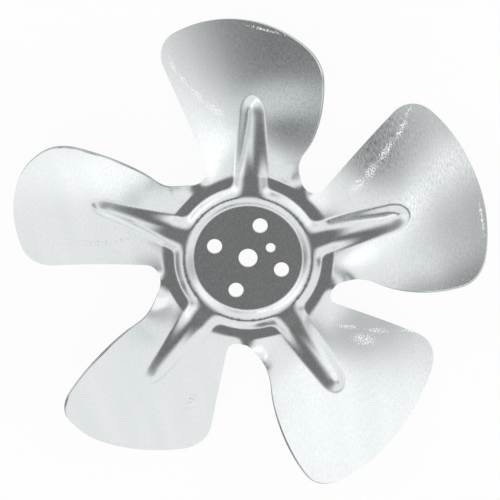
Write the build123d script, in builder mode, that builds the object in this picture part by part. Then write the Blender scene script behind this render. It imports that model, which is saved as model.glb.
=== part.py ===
"""Axial fan impeller: five twisted blades, a ring bead and five ribs pressed from one aluminium sheet.

Millimetres. The fan axis is Z and the disc's front face is Z = 0. The first blade's rib lies along +Y.
Seen from the front, each blade's clockwise side is raised and its other side is lowered.
"""
from build123d import *
import os
from math import atan2, cos, degrees, exp, hypot, pi, radians, sin, sqrt, tan

# ---------------------------------------------------------------- driving sizes
BLADES = 5
SHEET = 1.0                  # sheet thickness

# hub disc and its holes
CENTRE_HOLE = 6.9
BOLT_CIRCLE = 25.4
BOLT_HOLES = 4
BOLT_HOLE = 5.5
LOCATING_HOLE = 3.5
LOCATING_RADIUS = 8.9

# ring bead round the disc
DISC_RADIUS = 19.5
BEAD_FOOT = 26.3             # outer foot of the bead
BEAD_HEIGHT = 2.1
BEAD_FLANK = 2.6             # width of each sloping side
BEAD_ROUND = 1.5             # front radius of the crest
FOOT_ROUND = 0.3             # front radius at the feet

# flat flange outside the bead, and the notches between the blades
FOLD_RADIUS = 30.4           # the blades leave the flange here
NOTCH_RADIUS = 32.5
NOTCH_ROUND_RAISED = 4.0     # a notch's corner radius beside the raised side of a blade
NOTCH_ROUND_LOWERED = 4.2    # the same beside the lowered side

# blade outline, seen along the axis
TIP_RADIUS = 86.5
RAISED_REACH = 24.1          # how far the raised edge stands out from the rib's line
WAIST = 16.9                 # how far its narrowest place does
RAISED_START = 18.9          # where the raised edge meets the notch circle
LOWERED_REACH = 36.0         # where the straight lowered edge would meet the outer edge
LOWERED_START = 14.0         # where the straight lowered edge crosses the notch circle
LOWERED_HEIGHT = 70.9        # how far out that outer corner is
LOWERED_ROUND = 10.2         # its corner radius

# places on the raised edge, as shares of its reach and of the blade's length
RAISED_EDGE = ((0.725, 0.917), (1.0, 0.726), (0.886, 0.29), (0.766, 0.168))
WAIST_UP = 0.06

# blade surface
PITCH = 44.5                 # degrees, what the blade's angle tends to at the tip
TWIST_LENGTH = 18.3          # most of the pitch has come in this far past the fold
CAMBER_RADIUS = 79.5         # hollow side to the front
CAMBER_LENGTH = 14.0         # most of the camber has come in this far past the fold
TIP_RISE = 3.0               # the tip's middle stands this far in front of the disc
FADE_START = 3.0             # near the notches the blade is still level up to here past the fold ...
FADE_LENGTH = 9.0            # ... and fully formed this much further out
RAISED_FADE = 0.57           # share of the half sector where that begins on the raised side
LOWERED_FADE = 0.75          # the same on the lowered side

# rib along each blade
RIB_HEIGHT = 1.9
RIB_FLANK = 3.1              # width of each sloping side
RIB_FOOT_HUB = 6.7           # half width at the bead
RIB_FOOT_END = 4.3           # half width where the rounded end starts
RIB_END = 59.6               # radius of the rib's end
RIB_ROUND = 7.6              # length of the rounded end
RIB_SOFTNESS = 0.25          # rounding along the crest, as a share of the height

# sections that the surfaces are drawn through
SECTION_SHARES = (-1, -0.86, -0.72, -0.5, -0.25, 0, 0.25, 0.5, 0.72, 0.86, 1)    # of the half sector
RADIAL_STEPS = 8             # points along a blade section ...
RADIAL_CROWDING = 1.5        # ... closer together towards the fold
RIB_STEPS = 8                # rib sections along its straight part
RIB_END_STEPS = 5            # rib sections round its end
ACROSS_STEPS = 12            # points across a rib section
SLOPE_STEP = 0.2             # slopes are measured over this length each way

# turns about the axis, anticlockwise from +X in degrees
FIRST_RIB = 90
LOCATING_TURN = 2.5          # bolt hole spacings from the first bolt hole to the locating hole

# ---------------------------------------------------------------- worked-out values
SECTOR = 360 / BLADES
HALF_SECTOR = SECTOR / 2
BLADE_LENGTH = TIP_RADIUS - NOTCH_RADIUS
FLANGE_JOIN = (BEAD_FOOT + FOLD_RADIUS) / 2      # hub and blades meet on this circle
BEAD_CREST_IN = DISC_RADIUS + BEAD_FLANK
BEAD_CREST_OUT = BEAD_FOOT - BEAD_FLANK
BEAD_MIDDLE = (DISC_RADIUS + BEAD_FOOT) / 2
BEAD_ANGLE = atan2(BEAD_HEIGHT, BEAD_FLANK)
FLANK_ANGLE = atan2(RIB_HEIGHT, RIB_FLANK)
BOLT_START = FIRST_RIB + SECTOR                  # one bolt hole lies on the next rib's line
LOCATING_START = BOLT_START + LOCATING_TURN * 360 / BOLT_HOLES
CUT_DEPTH = TIP_RADIUS                           # taller than the blades stand either way
SHEET_REACH = TIP_RADIUS + 3 * SHEET             # the pressed surface runs past the outline
RIB_ROOT = 0.75 * SHEET                          # the rib's solid is sunk this far into the sheet
HOLLOW_DEPTH = 2 * SHEET                         # its hollow opens this far behind the sheet


# ---------------------------------------------------------------- the pressed surfaces
def ease(share):
    """1 at share 0 and 0 at share 1, level at both."""
    share = min(max(share, 0.0), 1.0)
    return 1 - share * share * (3 - 2 * share)


def front(x, y):
    """Height of the blade's front face without its rib: level up to the fold, then twisted and hollow."""
    beyond = max(hypot(x, y) - FOLD_RADIUS, 0.0)
    angle = degrees(atan2(x, y))
    fade_from = RAISED_FADE if angle > 0 else LOWERED_FADE
    to_notch = 1 - ease((abs(angle) / HALF_SECTOR - fade_from) / (1 - fade_from))
    formed = 1 - to_notch * ease((beyond - FADE_START) / FADE_LENGTH)
    slope = tan(radians(PITCH)) * (1 - exp(-beyond / TWIST_LENGTH))
    hollow = (1 - exp(-beyond / CAMBER_LENGTH)) / (2 * CAMBER_RADIUS)
    rise = TIP_RISE * (beyond / (TIP_RADIUS - FOLD_RADIUS)) ** 2
    return formed * (slope * x + hollow * x * x) + rise


def back(x, y):
    """Height of the blade's back face, a sheet's thickness behind the front measured square to it."""
    step = SLOPE_STEP
    across = (front(x + step, y) - front(x - step, y)) / (2 * step)
    along = (front(x, y + step) - front(x, y - step)) / (2 * step)
    return front(x, y) - SHEET * sqrt(1 + across * across + along * along)


def rib_half_width(y):
    """Half the width of the rib's foot, before its end is rounded."""
    share = min((y - DISC_RADIUS) / (RIB_END - RIB_ROUND - DISC_RADIUS), 1.0)
    return RIB_FOOT_HUB + share * (RIB_FOOT_END - RIB_FOOT_HUB)


def rib_inset(x, y):
    """Distance inside the rib's foot, seen along the axis."""
    half_width = rib_half_width(y)
    past = y - (RIB_END - RIB_ROUND)
    if past <= 0:
        return half_width - abs(x)
    reach = hypot(x / half_width, past / RIB_ROUND)
    return (1 - reach) * reach / hypot(x / half_width**2, past / RIB_ROUND**2)


def rib_bump(x, y, narrower=0.0):
    """Height of the rib above the blade: sloping sides, a soft-cornered crest, and just under outside."""
    share = (rib_inset(x, y) - narrower) / RIB_FLANK
    crest = (share + 1 - sqrt((share - 1) ** 2 + RIB_SOFTNESS**2)) / 2
    return max(RIB_HEIGHT * crest, -SHEET / 2)


# ---------------------------------------------------------------- sections
def radial_plane(angle):
    """Upright plane through the fan axis, at an angle in degrees clockwise from the rib."""
    outward = (sin(radians(angle)), cos(radians(angle)), 0)
    return Plane(origin=(0, 0, 0), x_dir=outward, z_dir=(outward[1], -outward[0], 0))


def blade_section(angle):
    """Draw one sector's sheet in its radial plane, closed: flange, fold and blade."""
    def profile(height, fold):
        shares = [(i / RADIAL_STEPS) ** RADIAL_CROWDING for i in range(RADIAL_STEPS + 1)]
        radii = [fold + (SHEET_REACH - fold) * share for share in shares]
        points = [(r, height(r * sin(radians(angle)), r * cos(radians(angle)))) for r in radii]
        return shares, points

    near = FOLD_RADIUS + SLOPE_STEP
    rise = front(near * sin(radians(angle)), near * cos(radians(angle)))
    back_fold = FOLD_RADIUS + SHEET * tan(atan2(rise, SLOPE_STEP) / 2)
    shares, face = profile(front, FOLD_RADIUS)
    _, under = profile(back, back_fold)
    under[0] = (back_fold, -SHEET)
    Polyline((back_fold, -SHEET), (BEAD_FOOT, -SHEET), (BEAD_FOOT, 0), (FOLD_RADIUS, 0))
    add(Edge.make_spline(face, parameters=shares))
    Line(face[-1], under[-1])
    add(Edge.make_spline(under, parameters=shares))


def rib_section(y, narrower, surface, depth):
    """Draw the rib's pressed form across a surface, closed a depth below it."""
    reach = rib_half_width(y) + SHEET
    shares = [i / ACROSS_STEPS for i in range(ACROSS_STEPS + 1)]
    xs = [reach * (2 * share - 1) for share in shares]
    top = [(x, surface(x, y) + rib_bump(x, y, narrower)) for x in xs]
    add(Edge.make_spline(top, parameters=shares))
    Polyline(top[-1], (reach, surface(reach, y) - depth), (-reach, surface(-reach, y) - depth), top[0])


def rib_stations(start):
    """Places along the rib for its sections: even along its straight part, closer round its end."""
    turn = RIB_END - RIB_ROUND
    straight = [start + (turn - start) * i / RIB_STEPS for i in range(RIB_STEPS)]
    rounded = [turn + RIB_ROUND * sin(pi / 2 * i / RIB_END_STEPS) for i in range(RIB_END_STEPS + 1)]
    return straight + rounded + [RIB_END + SHEET]


def bead_line(depth, start, end):
    """Draw the bead's profile, a depth under its front face, from one radius to another."""
    shift = depth * tan(BEAD_ANGLE / 2)
    corners = [
        (start, -depth),
        (DISC_RADIUS + shift, -depth),
        (BEAD_CREST_IN + shift, BEAD_HEIGHT - depth),
        (BEAD_CREST_OUT - shift, BEAD_HEIGHT - depth),
        (BEAD_FOOT - shift, -depth),
        (end, -depth),
    ]
    crest = max(BEAD_ROUND - depth, FOOT_ROUND)
    foot = FOOT_ROUND + depth
    FilletPolyline(*corners, radius=(foot, crest, crest, foot))


# ---------------------------------------------------------------- hub: disc, bead and flange
with BuildPart() as bead_hollow:
    with BuildSketch(Plane.XZ):
        with BuildLine():
            inner, outer = DISC_RADIUS - SHEET, FLANGE_JOIN
            bead_line(SHEET, inner, outer)
            Polyline((outer, -SHEET), (outer, -BEAD_HEIGHT - SHEET), (inner, -BEAD_HEIGHT - SHEET), (inner, -SHEET))
        make_face()
    revolve(axis=Axis.Z)

with BuildPart() as hub:
    with BuildSketch(Plane.XZ):
        with BuildLine():
            bead_line(0, 0, FLANGE_JOIN)
            Polyline((FLANGE_JOIN, 0), (FLANGE_JOIN, -SHEET), (0, -SHEET), (0, 0))
        make_face()
    revolve(axis=Axis.Z)

# ---------------------------------------------------------------- outline that the sheet is cut to
with BuildSketch() as blade_outline:
    with BuildLine():
        tip = Vector(0, TIP_RADIUS)
        crossing = Vector(-LOWERED_START, sqrt(NOTCH_RADIUS**2 - LOWERED_START**2))
        corner = Vector(-LOWERED_REACH, LOWERED_HEIGHT)
        inside = crossing + (crossing - corner).normalized() * NOTCH_RADIUS / 4
        Line(inside, corner)
        TangentArc(tip, corner, tangent=(-1, 0))
        raised = [tip]
        raised += [Vector(out * RAISED_REACH, NOTCH_RADIUS + up * BLADE_LENGTH) for out, up in RAISED_EDGE]
        raised += [Vector(WAIST, NOTCH_RADIUS + WAIST_UP * BLADE_LENGTH)]
        raised += [Vector(RAISED_START, sqrt(NOTCH_RADIUS**2 - RAISED_START**2))]
        direction = Vector(1, 0)
        for begin, end in zip(raised, raised[1:]):
            arc = TangentArc(begin, end, tangent=direction)
            direction = arc % 1
        Polyline(raised[-1], (0, 0), inside)
    make_face()
    fillet(blade_outline.vertices().sort_by_distance(corner)[0], LOWERED_ROUND)

with BuildSketch() as petal:
    Circle(NOTCH_RADIUS)
    add(blade_outline.sketch)
    fillet(petal.vertices().sort_by_distance(crossing)[0], NOTCH_ROUND_LOWERED)
    fillet(petal.vertices().sort_by_distance(raised[-1])[0], NOTCH_ROUND_RAISED)

with BuildPart() as blank:
    with BuildSketch(Plane.XY.offset(-CUT_DEPTH)):
        with PolarLocations(0, BLADES):
            add(petal.sketch)
    extrude(amount=2 * CUT_DEPTH)

# ---------------------------------------------------------------- one sector of the twisted sheet
with BuildPart() as blade:
    for share in SECTION_SHARES:
        angle = share * HALF_SECTOR
        with BuildSketch(radial_plane(angle)):
            with BuildLine():
                blade_section(angle)
            make_face()
    loft()
    add(blank.part, mode=Mode.INTERSECT)
    with BuildSketch(Plane.XY.offset(-CUT_DEPTH)):
        Circle(FLANGE_JOIN)
    extrude(amount=2 * CUT_DEPTH, mode=Mode.SUBTRACT)

# ---------------------------------------------------------------- one rib and the hollow behind it
with BuildPart() as rib:
    for y in rib_stations(BEAD_MIDDLE):
        with BuildSketch(Plane.XZ.offset(-y)):
            with BuildLine():
                rib_section(y, 0, front, RIB_ROOT)
            make_face()
    loft(ruled=True)

with BuildPart() as rib_hollow:
    for y in rib_stations(BEAD_MIDDLE - SHEET / 2):
        with BuildSketch(Plane.XZ.offset(-y)):
            with BuildLine():
                rib_section(y, SHEET * tan(FLANK_ANGLE / 2), back, HOLLOW_DEPTH)
            make_face()
    loft(ruled=True)

# ---------------------------------------------------------------- the whole pressing
with BuildPart() as impeller:
    add(hub.part)
    with PolarLocations(0, BLADES):
        add(blade.part)
    with PolarLocations(0, BLADES):
        add(rib.part)
    with PolarLocations(0, BLADES):
        add(rib_hollow.part, mode=Mode.SUBTRACT)
    add(bead_hollow.part, mode=Mode.SUBTRACT)
    with BuildSketch(Plane.XY.offset(-BEAD_HEIGHT)):
        Circle(CENTRE_HOLE / 2)
        with PolarLocations(BOLT_CIRCLE / 2, BOLT_HOLES, start_angle=BOLT_START):
            Circle(BOLT_HOLE / 2)
        with PolarLocations(LOCATING_RADIUS, 1, start_angle=LOCATING_START):
            Circle(LOCATING_HOLE / 2)
    extrude(amount=2 * BEAD_HEIGHT, mode=Mode.SUBTRACT)

impeller.part.label = "impeller"
os.makedirs("parts", exist_ok=True)
export_step(impeller.part, "parts/impeller.step")
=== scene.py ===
# %% [markdown]
# # Axial fan impeller
#
# The object is one sheet of aluminium, about 1 mm thick. A press tool cuts its outline and holes from
# flat sheet, and a second tool presses the ring, the ribs and the twist of the blades into it.
#
# The fan axis is Z. The disc's front face is Z = 0, and the first blade's rib lies along +Y. The packed
# CAD model is the fixed frame: everything here is made to its size and keeps to its box.

# %% Load the frame
from math import ceil, cos, inf, pi, radians, sin, tan

import bpy
import numpy as np
from mathutils import Matrix, Vector
from mathutils.geometry import delaunay_2d_cdt


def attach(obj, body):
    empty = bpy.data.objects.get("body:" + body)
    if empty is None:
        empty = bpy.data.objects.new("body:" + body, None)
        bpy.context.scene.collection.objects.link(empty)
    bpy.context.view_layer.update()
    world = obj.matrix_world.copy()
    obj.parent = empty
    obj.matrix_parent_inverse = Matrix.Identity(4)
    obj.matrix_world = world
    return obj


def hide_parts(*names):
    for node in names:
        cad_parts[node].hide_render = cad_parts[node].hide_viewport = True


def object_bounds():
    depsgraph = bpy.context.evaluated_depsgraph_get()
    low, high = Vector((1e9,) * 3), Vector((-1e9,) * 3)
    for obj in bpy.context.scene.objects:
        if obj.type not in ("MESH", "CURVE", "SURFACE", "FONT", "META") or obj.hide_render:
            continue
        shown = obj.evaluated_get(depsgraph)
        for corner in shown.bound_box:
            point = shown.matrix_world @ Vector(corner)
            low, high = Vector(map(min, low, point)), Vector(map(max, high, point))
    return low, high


MM = 0.001                   # Blender works in metres


def in_mm(box):
    """The two corners of a box, in millimetres."""
    return [[round(v / MM, 1) for v in corner] for corner in box]


bpy.ops.wm.read_factory_settings(use_empty=True)
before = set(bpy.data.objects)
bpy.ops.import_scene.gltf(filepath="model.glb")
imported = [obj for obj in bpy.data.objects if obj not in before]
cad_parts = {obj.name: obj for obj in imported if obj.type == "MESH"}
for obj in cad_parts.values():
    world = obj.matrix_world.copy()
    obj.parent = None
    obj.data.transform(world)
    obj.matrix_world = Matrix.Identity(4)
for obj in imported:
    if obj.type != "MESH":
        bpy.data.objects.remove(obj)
cad_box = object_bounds()
print("frame box, mm:", in_mm(cad_box))

# %% [markdown]
# ## Sizes of the sheet
#
# The sizes are those that the press tools are made to, in millimetres and degrees. They could be measured
# on the CAD solid instead, but they are the same values as in its source, so the fine mesh made below lies
# on the solid without any fitting. From the axis outwards the sheet has a flat disc, a raised ring, a flat
# flange, and five blades that leave the flange at a fold.

# %% Sizes of the sheet
BLADES = 5
SHEET = 1.0                  # thickness
DISC_RADIUS = 19.5           # the ring's inner foot
BEAD_FOOT = 26.3             # the ring's outer foot
FOLD_RADIUS = 30.4           # the blades leave the flat flange here
NOTCH_RADIUS = 32.5          # the notches between the blades reach in to here
TIP_RADIUS = 86.5

SECTOR = 360 / BLADES
HALF_SECTOR = SECTOR / 2
TINY = 1e-9                  # keeps a division away from zero
print("blades:", BLADES, "tip circle, mm:", 2 * TIP_RADIUS)

# %% [markdown]
# ## The shape of the press tool
#
# A steel tool gives the real sheet its shape. It could be modelled by pulling at the points of a
# subdivided mesh, but then little would keep the five blades alike or the flange level. Here the tool's
# face is a height for every place of the flat blank. It is written as a few smooth functions of arrays, so
# a whole grid of points is pressed at once:
#
# - a blade rises across its width, more and more towards its tip, and is slightly hollow to the front;
# - near the notches between blades it stays level, so that neighbouring blades join in one flange;
# - the ring and the ribs are a single raised figure, because that is how they run into each other.
#
# Two small functions make every soft change: one fades from 1 to 0, the other rounds a corner.

# %% Soft changes
def ease(share):
    """1 at share 0 and 0 at share 1, level at both."""
    share = np.clip(share, 0, 1)
    return 1 - share * share * (3 - 2 * share)


def soft_max(a, b, blend):
    """The larger of two values, rounded over where they are within a blend of each other."""
    return np.maximum(a, b) + np.maximum(blend - np.abs(a - b), 0) ** 2 / (4 * blend)


print("half way, ease gives", ease(0.5), "and a corner of blend 1 is rounded by", soft_max(0, 0, 1))

# %% Heights of the blades
PITCH = 44.5                 # what the blade's angle tends to at the tip
TWIST_LENGTH = 18.3          # how slowly it gets there, outwards from the fold
CAMBER_RADIUS = 79.5         # hollow of the blade across its width
CAMBER_LENGTH = 14.0         # how slowly it gets hollow
TIP_RISE = 3.0               # the tip's middle leans forward by this much
FADE_START = 3.0             # beside a notch a blade stays level up to here beyond the fold ...
FADE_LENGTH = 9.0            # ... and has its full shape this much farther out
RAISED_FADE = 0.57           # that level place starts at this share of the raised half sector ...
LOWERED_FADE = 0.75          # ... and at this share of the lowered one
RAISED_FOLD = 0.3            # half the fold's width where the sheet bends up, in a sharp line ...
LOWERED_FOLD = 1.0           # ... and where it bends down, round the outside of the bend
FOLD_CHANGE = 0.2            # share of the half sector, each side of the rib, where one turns into the other


def blade_height(x, y):
    """Height of a blade's front face. x runs across it, to its raised side, and y runs along its rib."""
    side = np.degrees(np.arctan2(x, y)) / HALF_SECTOR
    lowered = ease((side + FOLD_CHANGE) / (2 * FOLD_CHANGE))
    half_fold = RAISED_FOLD + (LOWERED_FOLD - RAISED_FOLD) * lowered
    beyond = soft_max(np.hypot(x, y) - FOLD_RADIUS, 0, half_fold)
    fade_from = np.where(side > 0, RAISED_FADE, LOWERED_FADE)
    to_notch = 1 - ease((np.abs(side) - fade_from) / (1 - fade_from))
    formed = 1 - to_notch * ease((beyond - FADE_START) / FADE_LENGTH)
    slope = tan(radians(PITCH)) * (1 - np.exp(-beyond / TWIST_LENGTH))
    hollow = (1 - np.exp(-beyond / CAMBER_LENGTH)) / (2 * CAMBER_RADIUS)
    rise = TIP_RISE * (beyond / (TIP_RADIUS - FOLD_RADIUS)) ** 2
    return formed * (slope * x + hollow * x * x) + rise


print("height at a blade's tip, mm:", round(float(blade_height(0.0, TIP_RADIUS)), 2))

# %% Heights of the ring and the ribs
BEAD_HEIGHT = 2.1
BEAD_FLANK = 2.6             # width of the ring's sloping sides, in plan
RIB_HEIGHT = 1.9
RIB_FLANK = 3.1
RIB_FOOT_HUB = 6.7           # half the width of a rib's foot at the disc's edge ...
RIB_FOOT_END = 4.3           # ... and where its round end starts
RIB_END = 59.6               # distance from the axis to its end
RIB_ROUND = 7.6              # length of its round end
CORNER_BLEND = 2.4           # rounds the corners where ribs leave the ring, seen along the axis
FOOT_BLEND = 0.22            # rounds the feet of the raised figure, as a height
BEAD_CREST = 1.4             # rounds the ring's crest ...
RIB_CREST = 0.8              # ... and a rib's
RIB_HEIGHT_FROM = 24.0       # the ring's height turns into the rib's ...
RIB_HEIGHT_BY = 30.0         # ... between these radii


def rib_inset(x, y):
    """Distance inside the rib's foot."""
    turn = RIB_END - RIB_ROUND
    share = np.minimum((y - DISC_RADIUS) / (turn - DISC_RADIUS), 1)
    half_width = RIB_FOOT_HUB + share * (RIB_FOOT_END - RIB_FOOT_HUB)
    past = np.maximum(y - turn, 0)
    reach = np.maximum(np.hypot(x / half_width, past / RIB_ROUND), TINY)
    rounded = (1 - reach) * reach / np.maximum(np.hypot(x / half_width**2, past / RIB_ROUND**2), TINY)
    return np.where(past > 0, rounded, half_width - np.abs(x))


def raised_inset(x, y):
    """Distance inside the foot of the raised figure that the ring and a rib make together."""
    radius = np.hypot(x, y)
    outer = soft_max(BEAD_FOOT - radius, rib_inset(x, y), CORNER_BLEND)
    return np.minimum(outer, radius - DISC_RADIUS)


def raised_height(x, y):
    """Height of the ring and ribs above the sheet that they are pressed into."""
    rib_share = 1 - ease((np.hypot(x, y) - RIB_HEIGHT_FROM) / (RIB_HEIGHT_BY - RIB_HEIGHT_FROM))
    height = BEAD_HEIGHT + rib_share * (RIB_HEIGHT - BEAD_HEIGHT)
    flank = BEAD_FLANK + rib_share * (RIB_FLANK - BEAD_FLANK)
    slope = height * raised_inset(x, y) / flank
    crest = -soft_max(-slope, -height, BEAD_CREST + rib_share * (RIB_CREST - BEAD_CREST))
    return soft_max(crest, 0, FOOT_BLEND)


for title, radius in (("ring", (DISC_RADIUS + BEAD_FOOT) / 2), ("rib", RIB_HEIGHT_BY)):
    print(f"height of the {title}, mm: {raised_height(0.0, radius):.2f}")

# %% [markdown]
# A press lifts the ribs square to the sheet they stand on, and the blank was cut square before it was
# pressed. Lifting every point straight up would be simpler, but on a steep blade it would lean the ribs
# and the cut edges over. So a point of the flat blank goes up to the blade's surface first, then along the
# surface's own normal by the height of the rib. The blank's edge keeps its place where it is outermost: at
# the back face on a blade's raised side, and at the front face on its lowered side.

# %% Press points of the blank
STEP = 0.05                  # slopes are measured over this length each way
SQUARE_FROM, SQUARE_TO = -15.0, 15.0   # degrees across a blade over which the kept face changes
SQUARE_REACH = 10.0          # the blades' edges are square from this far beyond the fold


def to_sector(plan):
    """Points turned back to the first blade's place, and the angles they were turned by."""
    clockwise = np.degrees(np.arctan2(plan[:, 0], plan[:, 1]))
    turn = np.radians(np.round(clockwise / SECTOR) * SECTOR)
    x = plan[:, 0] * np.cos(turn) - plan[:, 1] * np.sin(turn)
    y = plan[:, 0] * np.sin(turn) + plan[:, 1] * np.cos(turn)
    return x, y, turn


def slopes(x, y):
    """How steeply a blade's surface rises along x and along y, and the length of its normal."""
    across = (blade_height(x + STEP, y) - blade_height(x - STEP, y)) / (2 * STEP)
    along = (blade_height(x, y + STEP) - blade_height(x, y - STEP)) / (2 * STEP)
    return across, along, np.sqrt(1 + across**2 + along**2)


def press(plan):
    """Where points of the flat blank's front face are in the pressed sheet."""
    x, y, turn = to_sector(plan)
    side = np.degrees(np.arctan2(x, y))
    kept = 1 - ease((side - SQUARE_FROM) / (SQUARE_TO - SQUARE_FROM))
    kept = kept * (1 - ease((np.hypot(x, y) - FOLD_RADIUS) / SQUARE_REACH))
    across, along, steep = slopes(x, y)
    x, y = x - kept * SHEET * across / steep, y - kept * SHEET * along / steep
    across, along, steep = slopes(x, y)
    lift = raised_height(x, y) / steep
    px, py = x - across * lift, y - along * lift
    pz = blade_height(x, y) + lift
    return np.stack([px * np.cos(turn) + py * np.sin(turn), py * np.cos(turn) - px * np.sin(turn), pz], 1)


def press_normals(plan):
    """Unit normals of the pressed front face."""
    dx, dy = np.array([STEP, 0]), np.array([0, STEP])
    normals = np.cross(press(plan + dx) - press(plan - dx), press(plan + dy) - press(plan - dy))
    return normals / np.linalg.norm(normals, axis=1, keepdims=True)


print("the foot of a rib's end is pressed to, mm:", np.round(press(np.array([[0.0, RIB_END]]))[0], 2))

# %% [markdown]
# ## The flat blank
#
# A blanking punch cuts the real outline and its holes in one stroke. They could be drawn again here, but
# two drawings of one outline can drift apart, so they are read from the CAD solid: they are the lines
# where its upright cut edges meet its front face. The sides of its triangles that lie on such a line are
# collected first, each pointing to the next, and then walked from point to point until a loop closes.

# %% Cut lines of the frame
UPRIGHT = 0.2                # a face whose normal rises less than this is a cut edge
WELD_DIGITS = 4              # corners that agree to this many digits of a millimetre are one point
SMALLEST_TRIANGLE = 1e-6     # twice its area, in square millimetres; a smaller one has no clear normal


def front_sides(triangles, upward):
    """From each point on a cut line to the next: sides where a front face meets a cut edge."""
    faces_at = {}
    for triangle, up in zip(triangles.tolist(), upward):
        for i in range(3):
            ends = triangle[i], triangle[(i + 1) % 3]
            faces_at.setdefault(frozenset(ends), []).append((up, ends))
    follow = {}
    for faces in faces_at.values():
        fronts = [ends for up, ends in faces if up > UPRIGHT]
        if fronts and any(abs(up) < UPRIGHT for up, _ in faces):
            follow[fronts[0][0]] = fronts[0][1]
    return follow


def cut_lines(node):
    """Closed loops of plan points where the node's front face meets its upright cut edges."""
    mesh = node.data
    mesh.calc_loop_triangles()
    corners = np.array([v.co for v in mesh.vertices]) / MM
    _, first, same = np.unique(np.round(corners, WELD_DIGITS), axis=0, return_index=True, return_inverse=True)
    triangles = same.reshape(-1)[np.array([t.vertices for t in mesh.loop_triangles])]
    points = corners[first]
    a, b, c = (points[triangles[:, i]] for i in range(3))
    normals = np.cross(b - a, c - a)
    size = np.linalg.norm(normals, axis=1)
    clear = size > SMALLEST_TRIANGLE
    follow = front_sides(triangles[clear], normals[clear, 2] / size[clear])
    loops = []
    while follow:
        start, at = follow.popitem()
        loop = [start]
        while at != start:
            loop.append(at)
            at = follow.pop(at)
        loops.append(points[loop][:, :2])
    return loops


found = cut_lines(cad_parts["impeller"])
print("closed lines found:", len(found), "with points:", sorted(len(loop) for loop in found))

# %% [markdown]
# The lines of the CAD mesh have long and short steps. Mirrored in bare metal, uneven steps along an edge
# would show as small flat spots, so each line is divided evenly and smoothed a little.

# %% Even points along the cut lines
EDGE_SPACING = 0.5
HOLE_POINTS = 48             # at least this many points round a hole
EDGE_SMOOTHING = 4           # passes that take the corners off the CAD mesh's short straight runs
SHORTEST_LOOP = 8            # points; a shorter one is a sliver of the CAD mesh, not a cut
NOTCH_MARGIN = 0.01          # a point this far inside the notches' reach still belongs to the outline


def without_seams(loop):
    """A loop without the points where it runs in and back along the seam of two sectors, below a notch."""
    radius = np.hypot(loop[:, 0], loop[:, 1])
    return loop[(radius < DISC_RADIUS) | (radius > NOTCH_RADIUS - NOTCH_MARGIN)]


def divide(loop, spacing):
    """A closed loop's points, evenly spaced and slightly smoothed."""
    closed = np.vstack([loop, loop[:1]])
    along = np.concatenate([[0], np.cumsum(np.linalg.norm(np.diff(closed, axis=0), axis=1))])
    count = max(int(round(along[-1] / spacing)), HOLE_POINTS)
    places = np.linspace(0, along[-1], count, endpoint=False)
    even = np.stack([np.interp(places, along, closed[:, i]) for i in range(2)], 1)
    for _ in range(EDGE_SMOOTHING):
        even = (np.roll(even, 1, 0) + 2 * even + np.roll(even, -1, 0)) / 4
    return even


cut = [divide(without_seams(loop), EDGE_SPACING) for loop in found if len(loop) > SHORTEST_LOOP]
cut.sort(key=len, reverse=True)
for loop in cut:
    middle, width = (loop.max(0) + loop.min(0)) / 2, loop.max(0) - loop.min(0)
    print(f"cut line: {len(loop)} points, {width[0]:.1f} x {width[1]:.1f} mm, middle {np.round(middle, 2)}")

# %% [markdown]
# ## Points inside the blank
#
# The sheet could be a plane that is subdivided and displaced, but the plane's squares would run across the
# outline and the ribs, and bare metal shows every uneven face in its reflections. So the blank is filled
# with points on a triangular grid: fine where the ring and the ribs bend the sheet sharply, coarser round
# them, and coarsest on the smooth blades. The helpers below lay a grid, say which points are inside the
# outline, and keep points apart.

# %% Grid, inside and apart
ROW_SHARE = 0.866            # distance between the rows of a triangular grid, as a share of its spacing


def grid(spacing):
    """A triangular grid over the whole blank."""
    row_reach, column_reach = ceil(TIP_RADIUS / (spacing * ROW_SHARE)), ceil(TIP_RADIUS / spacing)
    rows, columns = np.arange(-row_reach, row_reach + 1), np.arange(-column_reach, column_reach + 1)
    row, column = np.meshgrid(rows, columns, indexing="ij")
    x = (column + 0.5 * (row % 2)) * spacing
    return np.stack([x.ravel(), (row * spacing * ROW_SHARE).ravel()], 1)


def inside(points, loops):
    """Which points lie inside the first loop and outside the others, by counting crossings."""
    crossings = np.zeros(len(points), int)
    for loop in loops:
        for (x0, y0), (x1, y1) in zip(loop, np.roll(loop, -1, 0)):
            spans = (points[:, 1] < y0) != (points[:, 1] < y1)
            if spans.any():
                at = x0 + (points[spans, 1] - y0) * (x1 - x0) / (y1 - y0)
                crossings[spans] += points[spans, 0] < at
    return crossings % 2 == 1


def clear_of(points, others, gap):
    """Which points are at least a gap away from all the others, using square cells of that size."""
    cells = {}
    for i, key in enumerate(map(tuple, np.floor(others / gap).astype(int))):
        cells.setdefault(key, []).append(i)
    free = np.ones(len(points), bool)
    for i, (cx, cy) in enumerate(np.floor(points / gap).astype(int)):
        near = [j for a in (-1, 0, 1) for b in (-1, 0, 1) for j in cells.get((cx + a, cy + b), ())]
        free[i] = not near or np.hypot(*(others[near] - points[i]).T).min() >= gap
    return free


print("a grid of 10 mm has", len(grid(10)), "points,", inside(grid(10), cut).sum(), "of them on the blank")

# %% [markdown]
# A bend gets clean edges only if points lie in lines along it. For the ring and the ribs, fine grid points
# are pulled sideways onto lines that run along the raised figure. For the fold between flange and blades,
# rings of points are laid on purpose.

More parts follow.
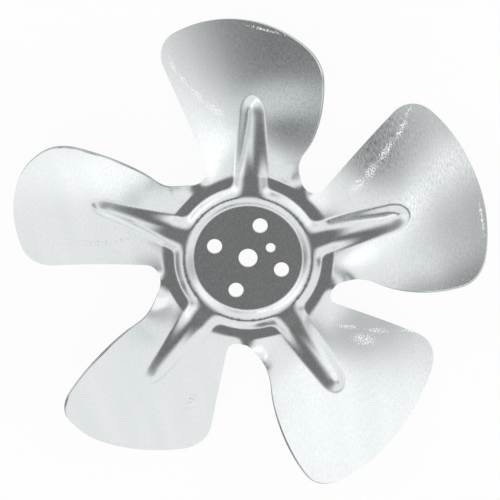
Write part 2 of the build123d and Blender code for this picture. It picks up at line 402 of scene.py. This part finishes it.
# %% Points along the bends
FINE, MIDDLE, COARSE = 0.5, 0.9, 1.5         # grid spacings
FINE_MARGIN, MIDDLE_MARGIN = 1.2, 3.0        # how far outside the raised figure each grid reaches
EDGE_CLEARANCE = 0.6                         # share of a grid's spacing kept free along cut lines
FOLD_RINGS = -0.9, -0.45, 0, 0.45, 0.9       # rings of points along the fold, from its middle
FOLD_CLEARANCE = 0.4                         # no grid point is nearer than this to the fold's own points
EVEN_SLOPE = 0.2             # points are pulled where the inset grows by 1 mm a millimetre, give or take this
LEAST_SLOPE = 0.5            # and never as if it grew more slowly than this


def inset_at(plan):
    """Distance of points of the blank inside the foot of the raised figure."""
    return raised_inset(*to_sector(plan)[:2])


def pull_to_bends(plan):
    """Points moved across the bends of the raised figure, onto lines that run along it a step apart."""
    inset = inset_at(plan)
    growth = [(inset_at(plan + d) - inset_at(plan - d)) / (2 * STEP) for d in np.eye(2) * STEP]
    gradient = np.stack(growth, 1)
    steep = np.linalg.norm(gradient, axis=1)
    sure = (np.abs(steep - 1) < EVEN_SLOPE) & (inset > -FINE) & (inset < RIB_FLANK + FINE)
    wanted = np.round(inset / FINE) * FINE
    pull = np.where(sure, (wanted - inset) / np.maximum(steep, LEAST_SLOPE) ** 2, 0)
    return plan + pull[:, None] * gradient


cut_points = np.vstack(cut)
around = np.arange(0, 2 * pi, FINE / FOLD_RADIUS)
circle = np.stack([np.cos(around), np.sin(around)], 1)
fold = np.vstack([circle * (FOLD_RADIUS + ring) for ring in FOLD_RINGS])
fold = fold[inside(fold, cut) & (inset_at(fold) < -FOLD_CLEARANCE)]
fold = fold[clear_of(fold, cut_points, EDGE_CLEARANCE * FINE)]
print("points along the fold:", len(fold))

# %% Points of the whole blank
GRIDS = (                    # spacing, and the insets it covers: less than 0 is outside the raised figure
    (FINE, -FINE_MARGIN, inf),
    (MIDDLE, -MIDDLE_MARGIN, -FINE_MARGIN),
    (COARSE, -inf, -MIDDLE_MARGIN),
)
blank = [cut_points, fold]
for spacing, low, high in GRIDS:
    points = grid(spacing)
    points = points[np.hypot(points[:, 0], points[:, 1]) < TIP_RADIUS]
    points = points[inside(points, cut)]
    inset = inset_at(points)
    points = points[(inset > low) & (inset <= high)]
    if spacing == FINE:
        points = pull_to_bends(points)
    points = points[clear_of(points, cut_points, EDGE_CLEARANCE * spacing)]
    points = points[clear_of(points, fold, FOLD_CLEARANCE)]
    blank.append(points)
    print(f"grid of {spacing} mm: {len(points)} points")
blank = np.vstack(blank)

# %% [markdown]
# Blender joins the points into triangles with a Delaunay triangulation, which makes them as even as it can
# and keeps the cut lines as edges. Triangles in the notches and holes are then left out.

# %% Join the points into triangles
SAME_POINT = 1e-4            # points nearer to each other than this are joined
ALL_TRIANGLES = 0            # the kind of result wanted: every triangle between the points

edges, start = [], 0
for loop in cut:
    edges += [(start + i, start + (i + 1) % len(loop)) for i in range(len(loop))]
    start += len(loop)
flat, _, faces, _, _, _ = delaunay_2d_cdt([Vector(p) for p in blank], edges, [], ALL_TRIANGLES, SAME_POINT)
flat = np.array([tuple(v) for v in flat])
faces = np.array(faces)
faces = faces[inside(flat[faces].mean(1), cut)]
face_points = len(flat)
print("blank:", face_points, "points,", len(faces), "triangles")

# %% [markdown]
# ## The pressed sheet
#
# The real sheet is equally thick everywhere, measured square to its face. Blender's Solidify modifier could
# thicken one pressed face, but it takes its normals from the mesh. The press functions give them exactly,
# so the back face is laid one sheet thickness behind the front along those, and mirrors as smoothly.
# Strips of quads along the cut lines close the sheet.

# %% Press the sheet
front = press(flat)
back = front - SHEET * press_normals(flat)
sides = {(a, b) for f in faces.tolist() for a, b in zip(f, f[1:] + f[:1])}
quads = [(b, a, a + face_points, b + face_points) for a, b in sides if (b, a) not in sides]
triangles = [tuple(f) for f in faces] + [tuple(f[::-1] + face_points) for f in faces]
sheet_mesh = bpy.data.meshes.new("pressed_sheet")
sheet_mesh.from_pydata(np.vstack([front, back]) * MM, [], triangles + quads)
sheet_mesh.validate()
sheet_mesh.update()
sheet_mesh.shade_smooth()
sheet = bpy.data.objects.new("pressed_sheet", sheet_mesh)
bpy.context.scene.collection.objects.link(sheet)
print("sheet:", len(sheet_mesh.vertices), "points,", len(sheet_mesh.polygons), "faces")

# %% [markdown]
# A cut sheet is deburred, which leaves its edges slightly round. Extra rows of points could be built in for
# that, but a Bevel modifier finds the sharp corners along the cut lines by itself and stays easy to change.
# With hardened normals the faces beside it keep their clean reflections.

# %% Ease the cut edges
EDGE_EASE = 0.15
EASE_STEPS = 2
SHARP_ANGLE = 60             # degrees; only corners sharper than this are eased, so no bend of the pressing

bevel = sheet.modifiers.new("eased_edge", "BEVEL")
bevel.width = EDGE_EASE * MM
bevel.segments = EASE_STEPS
bevel.limit_method = "ANGLE"
bevel.angle_limit = radians(SHARP_ANGLE)
bevel.harden_normals = True
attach(sheet, "root")
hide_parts("impeller")
print("edges eased by, mm:", EDGE_EASE)

# %% [markdown]
# ## Camera
#
# A long lens over a metre away looks down at the disc, a little off the fan axis, so the impeller shows
# almost in plan. The camera could be dragged into place or aimed with a constraint. Here its place is
# worked out from three angles round the disc, so each can be read and changed by itself. A lens shift
# moves the disc within the image without tilting the view.

# %% Camera
CAMERA_TILT = 15.8           # degrees off the fan axis, towards +Y
CAMERA_TURN = -1.35          # degrees round the axis
CAMERA_ROLL = 1.88           # degrees about its own line of sight
CAMERA_DISTANCE = 1186.4
FOCAL_PIXELS = 3320.4        # lens length, in pixels of the image below
HUB_PIXEL = (247.55, 257.47)           # where the disc's centre is seen, from the top left pixel's centre
IMAGE_SIZE = 500
SENSOR = 36

tilt, turn, roll = (radians(v) for v in (CAMERA_TILT, CAMERA_TURN, CAMERA_ROLL))
towards = Vector((sin(tilt) * sin(turn), sin(tilt) * cos(turn), cos(tilt)))
up = (Vector((0, 1, 0)) - towards * towards.y).normalized()
right = up.cross(towards)
right, up = right * cos(roll) + up * sin(roll), up * cos(roll) - right * sin(roll)
camera = bpy.data.objects.new("camera", bpy.data.cameras.new("camera"))
bpy.context.scene.collection.objects.link(camera)
bpy.context.scene.camera = camera
camera.matrix_world = Matrix((right, up, towards)).transposed().to_4x4()
camera.location = towards * CAMERA_DISTANCE * MM
camera.data.sensor_width = SENSOR
camera.data.lens = SENSOR * FOCAL_PIXELS / IMAGE_SIZE
camera.data.shift_x = ((IMAGE_SIZE - 1) / 2 - HUB_PIXEL[0]) / IMAGE_SIZE
camera.data.shift_y = (HUB_PIXEL[1] - (IMAGE_SIZE - 1) / 2) / IMAGE_SIZE
print("camera at, mm:", [round(v / MM) for v in camera.location])

# %% [markdown]
# ## Helpers for materials
#
# Colours are written as sRGB hex values, as a colour picker gives them, and turned to the linear values
# that Blender works in. Materials could be built by hand in the Shader Editor, but a script needs them as
# text, so one function adds a node, its settings and its links.

# %% Colour and node helpers
def colour(hex_value):
    """Linear RGBA of an sRGB hex colour such as '#C0FFEE', by the formula of the sRGB standard."""
    parts = [int(hex_value[i:i + 2], 16) / 255 for i in (1, 3, 5)]
    return [p / 12.92 if p <= 0.04045 else ((p + 0.055) / 1.055) ** 2.4 for p in parts] + [1]


def node_in(tree, kind, settings=None, **inputs):
    """Adds a node. Inputs are named with _ for a space, or numbered as _0, _1; a value may be a socket."""
    made = tree.nodes.new(kind)
    for key, value in (settings or {}).items():
        setattr(made, key, value)
    for key, value in inputs.items():
        socket = made.inputs[int(key[1:]) if key[1:].isdigit() else key.replace("_", " ")]
        if isinstance(value, bpy.types.NodeSocket):
            tree.links.new(value, socket)
        else:
            socket.default_value = value
    return made


def new_tree(name):
    """A new material and its empty node tree."""
    material = bpy.data.materials.new(name)
    material.use_nodes = True
    material.node_tree.nodes.clear()
    return material, material.node_tree


print("middle grey in linear values:", [round(v, 3) for v in colour("#808080")])

# %% [markdown]
# ## Studio
#
# The impeller lies face up on a white table, in a white tent. Bare metal shows its surroundings rather
# than a colour of its own, so what stands round the tent matters more than any lamp. The tent could be
# built as a cloth with lamps outside. A plain white world gives the same even light at no cost.

# %% White tent
world = bpy.data.worlds.new("white_tent")
bpy.context.scene.world = world
world.use_nodes = True
world.node_tree.nodes["Background"].inputs["Color"].default_value = colour("#FFFFFF")
world.node_tree.nodes["Background"].inputs["Strength"].default_value = 1.0
bpy.context.scene.view_settings.view_transform = "Standard"
print("world:", world.name)

# %% [markdown]
# The table is a single wide square at the impeller's lowest point. To the camera it is mostly plain white,
# with a share of a matt surface mixed in, so that the impeller's shadow shows faintly on it. It is hidden
# from reflections, because the metal looks better with the white tent reaching below the horizon too.

# %% Table
TABLE = 3000                 # its width
TABLE_WHITE = 0.9            # share of plain white that the camera sees

floor_level = cad_box[0].z / MM
half = TABLE / 2
table_mesh = bpy.data.meshes.new("table")
corners = [(-half, -half), (half, -half), (half, half), (-half, half)]
table_mesh.from_pydata([Vector((x, y, floor_level)) * MM for x, y in corners], [], [(0, 1, 2, 3)])
table = bpy.data.objects.new("table", table_mesh)
bpy.context.scene.collection.objects.link(table)
table.visible_glossy = False

material, tree = new_tree("white_table")
path = node_in(tree, "ShaderNodeLightPath")
seen = node_in(tree, "ShaderNodeMath", {"operation": "MULTIPLY"},
               _0=path.outputs["Is Camera Ray"], _1=TABLE_WHITE)
matt = node_in(tree, "ShaderNodeBsdfDiffuse", Color=colour("#F4F4F4"))
white = node_in(tree, "ShaderNodeEmission", Color=colour("#FFFFFF"), Strength=1.0)
both = node_in(tree, "ShaderNodeMixShader", _0=seen.outputs[0], _1=matt.outputs[0], _2=white.outputs[0])
node_in(tree, "ShaderNodeOutputMaterial", Surface=both.outputs[0])
table_mesh.materials.append(material)
print("table level, mm:", round(floor_level, 2))

# %% [markdown]
# A real tent is not white all round: it has an opening for the camera, seams, and lamps behind its cloth.
# These could be painted on a picture of the surroundings, but then one could not be moved by itself. Here
# each is a soft-edged panel that only reflections see, so it leaves the table and the shadow alone. The
# opening that the camera looks through is dark, and that is what the flat disc mirrors.
#
# Each panel is a square facing the disc, and its material fades out to an ellipse that fills the square.

# %% Panel
def panel(name, off_axis, round_axis, half_wide, half_tall, brightness, soft_share, distance):
    """A panel. Its place and half sizes are angles as seen from the disc, and its distance is in mm."""
    off, turn = radians(off_axis), radians(round_axis)
    facing = Vector((sin(off) * cos(turn), sin(off) * sin(turn), cos(off)))
    side = Vector((-sin(turn), cos(turn), 0))
    away = distance * MM
    across = side * tan(radians(half_wide)) * away
    upward = facing.cross(side) * tan(radians(half_tall)) * away
    mesh = bpy.data.meshes.new(name)
    mesh.from_pydata([(-1, -1, 0), (1, -1, 0), (1, 1, 0), (-1, 1, 0)], [], [(0, 1, 2, 3)])
    square = bpy.data.objects.new(name, mesh)
    bpy.context.scene.collection.objects.link(square)
    square.matrix_world = Matrix((across, upward, facing * away)).transposed().to_4x4()
    square.location = facing * away
    square.visible_camera = False
    square.visible_diffuse = False
    square.visible_shadow = False
    square.visible_transmission = False

    material, tree = new_tree(name)
    place = node_in(tree, "ShaderNodeTexCoord")
    middle = node_in(tree, "ShaderNodeVectorMath", {"operation": "LENGTH"}, _0=place.outputs["Object"])
    fade = node_in(tree, "ShaderNodeMapRange", {"interpolation_type": "SMOOTHSTEP"},
                   Value=middle.outputs["Value"], From_Min=1 - soft_share, From_Max=1.0,
                   To_Min=0.0, To_Max=1.0)
    glow = node_in(tree, "ShaderNodeEmission", Color=colour("#FFFFFF"), Strength=brightness)
    clear = node_in(tree, "ShaderNodeBsdfTransparent")
    both = node_in(tree, "ShaderNodeMixShader", _0=fade.outputs[0], _1=glow.outputs[0], _2=clear.outputs[0])
    node_in(tree, "ShaderNodeOutputMaterial", Surface=both.outputs[0])
    mesh.materials.append(material)


# %% Panels round the tent
PANELS = (
    # name, degrees off the fan axis, degrees round it from +X, half width and half height in degrees,
    # brightness where the tent is 1, share of it that fades, distance; nearer ones hide farther ones
    ("camera_opening", 13, 285, 53, 40, 0.17, 0.8, 1500),
    ("left_side", 92, 201, 32, 42, 0.18, 0.85, 1480),
    ("far_side", 74, 96, 24, 12, 0.25, 0.4, 1460),
    ("far_horizon", 90, 120, 30, 9, 0.0, 0.4, 1440),
    ("right_side", 70, 354, 18, 30, 0.6, 0.6, 1420),
    ("right_lamp", 70, 32, 24, 34, 1.22, 0.5, 1400),
    ("far_lamp", 52, 152, 30, 12, 1.45, 0.6, 1380),
    ("far_streak", 60, 112, 13, 5.5, 2.0, 1.0, 1360),
    ("front_lamp", 106, 262, 12, 23, 1.3, 0.75, 1340),
    ("far_gap", 63, 74, 13, 9, 0.0, 0.7, 183),
)
for settings in PANELS:
    panel(*settings)
print("panels:", [settings[0] for settings in PANELS])

# %% [markdown]
# ## Mill-finish aluminium
#
# The sheet is plain aluminium, such as 1050 or 3003, as it leaves the rolling mill: neither polished nor
# painted. The rolls leave fine lengthwise grain all the way across the sheet, in one direction, because the
# blank was cut from it before it was pressed. A picture of metal could be wrapped round each blade, but it
# would turn with the blade. So the pattern is noise laid on in plan, with the height left out, and
# stretched along the rolling direction.

# %% Grain of the rolled sheet
GRAIN_TURN = 14              # degrees from the first blade's rib, anticlockwise
GRAIN_SIZE = 0.45, 1.6       # width and length in mm; real grain is about 0.05 mm wide, drawn coarser to show
PEEL_SIZE = 0.9, 1.44        # spots of the slight orange peel that pressing leaves
CLOUD_SIZE = 9.0, 60.0       # broad bands left by the rolls

material, tree = new_tree("mill_finish_aluminium")
place = node_in(tree, "ShaderNodeTexCoord")
plan = node_in(tree, "ShaderNodeMapping", _0=place.outputs["Object"],
               Rotation=(0, 0, -radians(GRAIN_TURN)), Scale=(1 / MM, 1 / MM, 0))


def streaks(size, detail, roughness):
    """Noise in plan whose spots have about this width and length. Detail adds finer and finer noise."""
    along = node_in(tree, "ShaderNodeVectorMath", {"operation": "DIVIDE"}, _0=plan.outputs[0], _1=(*size, 1))
    noise = node_in(tree, "ShaderNodeTexNoise", Vector=along.outputs[0], Scale=1.0,
                    Detail=detail, Roughness=roughness)
    return noise.outputs["Fac"]


grain = streaks(GRAIN_SIZE, detail=2.0, roughness=0.6)
peel = streaks(PEEL_SIZE, detail=3.0, roughness=0.7)
clouds = streaks(CLOUD_SIZE, detail=1.0, roughness=0.5)
print("nodes for grain, peel and clouds:", len(tree.nodes))

# %% [markdown]
# ## Scuffs
#
# Stacked blanks rub where their blades touch, so some blades carry a scatter of short bright scratches and
# a few grey specks. They could be painted on by hand in Texture Paint, but that needs an image. Here each
# mark is an ellipse in plan that fades outwards, and fine noise breaks it up into specks: a speck shows
# where the noise is above a limit, and the limit is higher towards the ellipse's rim.

# %% Scuff marks
MARK_CORE = 0.2              # share of a mark's reach within which it is at its densest
SPECK_LENGTH = 1.5           # length of a speck, as a share of its width
SPECK_EDGE = 0.03            # how softly a speck ends, as a step of the noise
ANY_HEIGHT = 1000            # half height of a mark in metres: so tall that a blade's height doesn't matter


def marks(ellipses, speck, limit, rim):
    """Specks of this width within ellipses. The noise's limit rises from limit, at a middle, by rim."""
    cover = None
    for x, y, direction, half_long, half_wide in ellipses:
        own = node_in(tree, "ShaderNodeMapping", {"vector_type": "TEXTURE"}, _0=place.outputs["Object"],
                      Location=(x * MM, y * MM, 0), Rotation=(0, 0, radians(direction)),
                      Scale=(half_long * MM, half_wide * MM, ANY_HEIGHT))
        reach = node_in(tree, "ShaderNodeVectorMath", {"operation": "LENGTH"}, _0=own.outputs[0])
        mask = node_in(tree, "ShaderNodeMapRange", {"interpolation_type": "SMOOTHSTEP"},
                       Value=reach.outputs["Value"], From_Min=MARK_CORE, From_Max=1.0, To_Min=1.0, To_Max=0.0)
        if cover is None:
            cover = mask
        else:
            cover = node_in(tree, "ShaderNodeMath", {"operation": "MAXIMUM"},
                            _0=cover.outputs[0], _1=mask.outputs[0])
    broken = streaks((speck, speck * SPECK_LENGTH), detail=2.0, roughness=0.7)
    lifted = node_in(tree, "ShaderNodeMath", {"operation": "MULTIPLY_ADD"},
                     _0=cover.outputs[0], _1=rim, _2=broken)
    specks = node_in(tree, "ShaderNodeMapRange", Value=lifted.outputs[0],
                     From_Min=limit + rim, From_Max=limit + rim + SPECK_EDGE, To_Min=0.0, To_Max=1.0)
    shown = node_in(tree, "ShaderNodeMath", {"operation": "MULTIPLY"},
                    _0=specks.outputs[0], _1=cover.outputs[0])
    return shown.outputs[0]


# %% Places of the scuffs
BRIGHT_SCUFFS = (            # middle x and y in mm, degrees from +X, half length and half width in mm
    (-29, 65, -60, 6, 1.5), (-25, 60.5, -50, 6, 1.8), (-20, 56, -42, 7, 2.4), (-13.5, 52, -28, 8, 3.2),
    (56, 51, 55, 4, 0.8), (53.5, 45, 62, 8, 1.7), (48, 37.5, 55, 8, 2.6), (43, 31, 50, 6, 2.8),
    (38, 26, 40, 8, 3.4), (37, -26.5, -14, 7, 1.3), (48, -29.5, -12, 8, 1.4), (43, -32, -15, 8, 3.6),
    (60, -31, -6, 6, 1.2), (3, 84.5, -2, 12, 0.9), (82, 20, -80, 9, 0.9),
)
GREY_SPECKS = (
    (-55, 1, 8, 14, 3.0), (-19, -58, 70, 12, 3.0), (-45, 4, 20, 6, 2.0),
)
bright = marks(BRIGHT_SCUFFS, speck=0.5, limit=0.5, rim=0.15)
grey = marks(GREY_SPECKS, speck=0.6, limit=0.58, rim=0.1)
print("scuffs:", len(BRIGHT_SCUFFS), "bright,", len(GREY_SPECKS), "grey")

# %% [markdown]
# The shader starts from what bare aluminium is. Metallic 1 with a pale, slightly cool base colour lets it
# mirror the tent almost at full strength. A roughness between 0.18 and 0.29, varied by the grain, blurs
# what it mirrors to soft bands, and bumps of a few thousandths of a millimetre break those bands up a
# little. A bright scuff is torn metal: it scatters light every way, so it is rougher, white and not
# metallic.

# %% Aluminium
NOISE_REACH = {"From_Min": 0.3, "From_Max": 0.7}       # noise seldom leaves this range
SMOOTHEST, ROUGHEST = 0.18, 0.29
SCUFF_ROUGHNESS = 0.3        # added where the sheet is scuffed
GRAIN_SHOWN = 0.3            # the largest share of a darker grey that the grain mixes in
BUMP_HEIGHT = 0.006          # mm, of the grain
PEEL_SHARE = 0.6             # height of the orange peel, as a share of that

banded = node_in(tree, "ShaderNodeMapRange", Value=clouds, **NOISE_REACH, To_Min=0.0, To_Max=1.0)
darker = node_in(tree, "ShaderNodeMapRange", Value=grain, **NOISE_REACH, To_Min=0.0, To_Max=GRAIN_SHOWN)
tone = node_in(tree, "ShaderNodeMix", {"data_type": "RGBA"},
               _0=banded.outputs[0], _6=colour("#E2E6E7"), _7=colour("#E9ECED"))
for share, tint in ((darker.outputs[0], "#CFD4D6"), (grey, "#B4B8B6"), (bright, "#FFFFFF")):
    tone = node_in(tree, "ShaderNodeMix", {"data_type": "RGBA"},
                   _0=share, _6=tone.outputs[2], _7=colour(tint))
rough = node_in(tree, "ShaderNodeMapRange", Value=grain, **NOISE_REACH, To_Min=SMOOTHEST, To_Max=ROUGHEST)
scuffed = node_in(tree, "ShaderNodeMath", {"operation": "MULTIPLY_ADD"},
                  _0=bright, _1=SCUFF_ROUGHNESS, _2=rough.outputs[0])
heights = node_in(tree, "ShaderNodeMath", {"operation": "MULTIPLY_ADD"}, _0=peel, _1=PEEL_SHARE, _2=grain)
bumps = node_in(tree, "ShaderNodeBump", Strength=1.0, Distance=BUMP_HEIGHT * MM, Height=heights.outputs[0])
bare = node_in(tree, "ShaderNodeMath", {"operation": "SUBTRACT"}, _0=1.0, _1=bright)
shader = node_in(tree, "ShaderNodeBsdfPrincipled", Base_Color=tone.outputs[2], Metallic=bare.outputs[0],
                 Roughness=scuffed.outputs[0], Normal=bumps.outputs[0])
node_in(tree, "ShaderNodeOutputMaterial", Surface=shader.outputs[0])
sheet_mesh.materials.append(material)
print(material.name, "has", len(tree.nodes), "nodes")

# %% [markdown]
# ## Cut edge
#
# A punch leaves two bands on the edge that it cuts: near the front face, where it slid, the metal is
# burnished bright; below that it tore, and is dull and grainy. The two could be separate strips of mesh.
# Instead each point of the mesh has a depth value, 0 on the front face and 1 on the back, and the material
# changes where that value passes a set share. So the bands follow every edge, however the blade is twisted.

# %% Depth in the sheet
depth = sheet_mesh.attributes.new("depth", "FLOAT", "POINT")
depth.data.foreach_set("value", np.repeat([0.0, 1.0], face_points))
for face in sheet_mesh.polygons[len(triangles):]:
    face.material_index = 1
print("cut edge:", len(quads), "faces")

# %% Sheared edge
BURNISHED = 0.35             # share of the thickness that the punch slid over
BAND_CHANGE = 0.05           # the bands blend over this share each side of that
BURNISHED_ROUGHNESS, TORN_ROUGHNESS = 0.22, 0.5
PIT_SIZE = 0.3               # mm between the pits of the torn band

material, tree = new_tree("sheared_aluminium_edge")
place = node_in(tree, "ShaderNodeTexCoord")
level = node_in(tree, "ShaderNodeAttribute", {"attribute_name": "depth"})
torn = node_in(tree, "ShaderNodeMapRange", Value=level.outputs["Fac"], From_Min=BURNISHED - BAND_CHANGE,
               From_Max=BURNISHED + BAND_CHANGE, To_Min=0.0, To_Max=1.0)
pits = node_in(tree, "ShaderNodeTexNoise", Vector=place.outputs["Object"],
               Scale=1 / (PIT_SIZE * MM), Detail=2.0)
dull = node_in(tree, "ShaderNodeMix", {"data_type": "RGBA"},
               _0=pits.outputs["Fac"], _6=colour("#A9AEAF"), _7=colour("#CDD1D2"))
tone = node_in(tree, "ShaderNodeMix", {"data_type": "RGBA"},
               _0=torn.outputs[0], _6=colour("#DDE1E2"), _7=dull.outputs[2])
rough = node_in(tree, "ShaderNodeMapRange", Value=torn.outputs[0],
                To_Min=BURNISHED_ROUGHNESS, To_Max=TORN_ROUGHNESS)
shader = node_in(tree, "ShaderNodeBsdfPrincipled", Base_Color=tone.outputs[2], Metallic=1.0,
                 Roughness=rough.outputs[0])
node_in(tree, "ShaderNodeOutputMaterial", Surface=shader.outputs[0])
sheet_mesh.materials.append(material)
print(material.name, "has", len(tree.nodes), "nodes")
